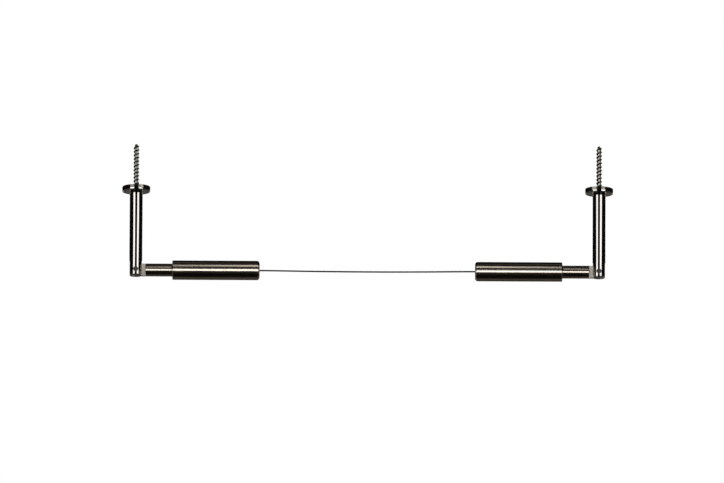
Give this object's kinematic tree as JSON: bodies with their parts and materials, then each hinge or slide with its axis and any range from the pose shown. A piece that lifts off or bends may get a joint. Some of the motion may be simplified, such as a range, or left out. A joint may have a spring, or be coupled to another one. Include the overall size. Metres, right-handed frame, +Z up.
{
  "type": "curtain wire",
  "caption": "Ceiling-hung curtain wire: a thin stranded steel wire pulled tight between turning sleeves on swivel rods, each pivoting on a round post with a flange and wood screw.",
  "frame": {"origin": "on the ceiling plane, halfway between the two flange faces", "axes": "+Z up into the ceiling, +X along the wire to the right, -Y towards the viewer of the picture"},
  "size_m": [0.456, 0.026, 0.1287],
  "materials": {
    "polished_steel": "polished",
    "satin_steel": "fine satin, turned",
    "screw_steel": "rolled, slightly dull",
    "wire_steel": "bright drawn strands",
    "clamp_brass": "turned"
  },
  "bodies": {
    "wire": {"wire_rope": "wire_steel", "left_wire_clamp": "clamp_brass", "left_clamp_screws": "screw_steel", "right_wire_clamp": "clamp_brass", "right_clamp_screws": "screw_steel"},
    "left_sleeve": {"left_tension_sleeve": "satin_steel"},
    "left_rod": {"left_swivel_rod": "satin_steel"},
    "left_post": {"left_post": "polished_steel", "left_ceiling_flange": "polished_steel", "left_hanger_screw": "screw_steel", "left_pivot_screw": "screw_steel"},
    "right_sleeve": {"right_tension_sleeve": "satin_steel"},
    "right_rod": {"right_swivel_rod": "satin_steel"},
    "right_post": {"right_post": "polished_steel", "right_ceiling_flange": "polished_steel", "right_hanger_screw": "screw_steel", "right_pivot_screw": "screw_steel"}
  },
  "joints": [
    {"name": "left_sleeve_turn", "type": "hinge", "parent": "wire", "child": "left_sleeve", "pos_m": [-0.14, 0, -0.079], "axis": [-1, 0, 0], "range_deg": [-1200, 4800]},
    {"name": "left_tension", "type": "slide", "parent": "wire", "child": "left_rod", "axis": [1, 0, 0], "range_m": [-0.005, 0.02]},
    {"name": "left_pivot", "type": "hinge", "parent": "left_rod", "child": "left_post", "pos_m": [-0.215, 0, -0.079], "axis": [0, -1, 0], "range_deg": [-15, 180]},
    {"name": "right_sleeve_turn", "type": "hinge", "parent": "wire", "child": "right_sleeve", "pos_m": [0.14, 0, -0.079], "axis": [1, 0, 0], "range_deg": [-1200, 4800]},
    {"name": "right_tension", "type": "slide", "parent": "wire", "child": "right_rod", "axis": [-1, 0, 0], "range_m": [-0.005, 0.02]},
    {"name": "right_pivot", "type": "hinge", "parent": "right_rod", "child": "right_post", "pos_m": [0.215, 0, -0.079], "axis": [0, 1, 0], "range_deg": [-15, 180]}
  ],
  "couplings": [
    {"joint": "left_tension", "follows": "left_sleeve_turn", "m_per_rad": 0.00023873},
    {"joint": "right_tension", "follows": "right_sleeve_turn", "m_per_rad": 0.00023873}
  ]
}
